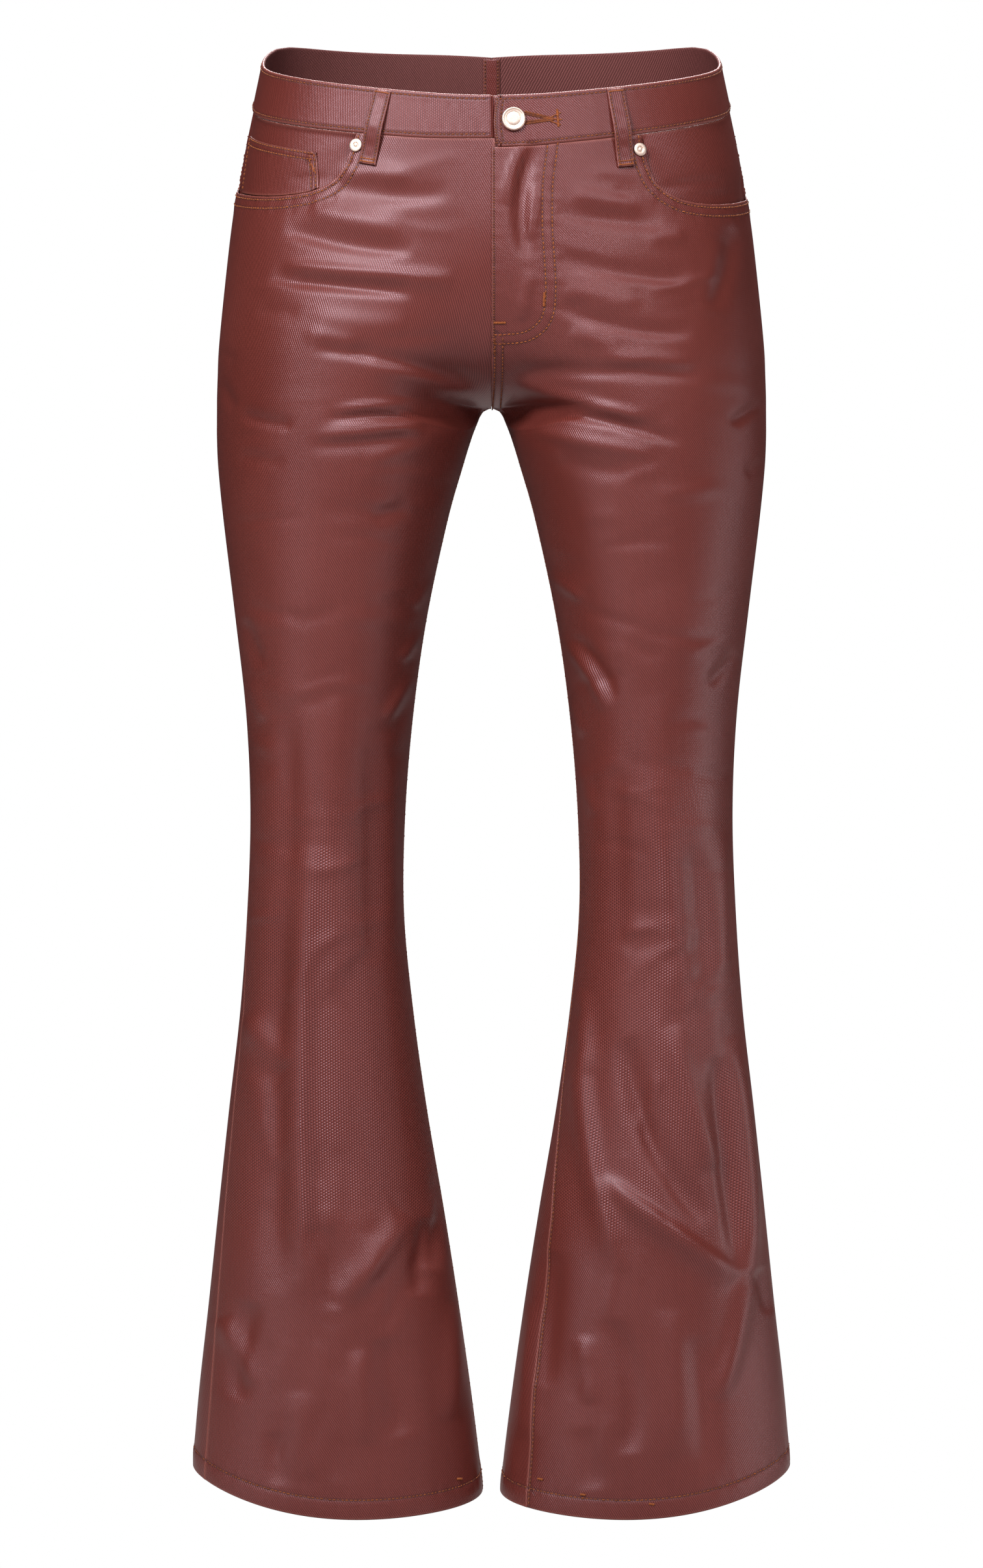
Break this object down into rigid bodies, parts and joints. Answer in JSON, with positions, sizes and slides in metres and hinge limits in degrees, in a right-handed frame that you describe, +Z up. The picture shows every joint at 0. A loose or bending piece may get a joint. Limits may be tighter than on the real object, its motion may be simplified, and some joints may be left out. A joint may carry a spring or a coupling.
{
  "type": "coated flared jeans",
  "caption": "Hollow, filled-out pair of coated flared jeans with waistband, fly, scooped front pockets, patch back pockets, belt loops and shank button.",
  "frame": {"origin": "middle of the waist opening, half way up the waistband at the side seams, where the wearer holds the garment", "axes": "+Z up along the body, -Y out of the front, +X to the wearer's left"},
  "size_m": [0.4435, 0.2434, 1.0892],
  "materials": {
    "coated_twill": "waxy coated twill, red-brown with a mauve sheen",
    "rose_metal": "pale rose-silver plated metal, satin"
  },
  "bodies": {
    "root": {"front_panel_left": "coated_twill", "front_panel_right": "coated_twill", "back_panel_left": "coated_twill", "back_panel_right": "coated_twill", "back_yoke_left": "coated_twill", "back_yoke_right": "coated_twill", "waistband_left": "coated_twill", "waistband_right": "coated_twill", "pocket_facing_left": "coated_twill", "pocket_facing_right": "coated_twill", "coin_pocket": "coated_twill", "back_pocket_left": "coated_twill", "back_pocket_right": "coated_twill", "belt_loop_front_left": "coated_twill", "belt_loop_front_right": "coated_twill", "belt_loop_back_left": "coated_twill", "belt_loop_back_right": "coated_twill", "belt_loop_back_centre": "coated_twill", "back_strip": "coated_twill", "rivet_left": "rose_metal", "rivet_right": "rose_metal", "shank_button": "rose_metal"}
  },
  "joints": []
}
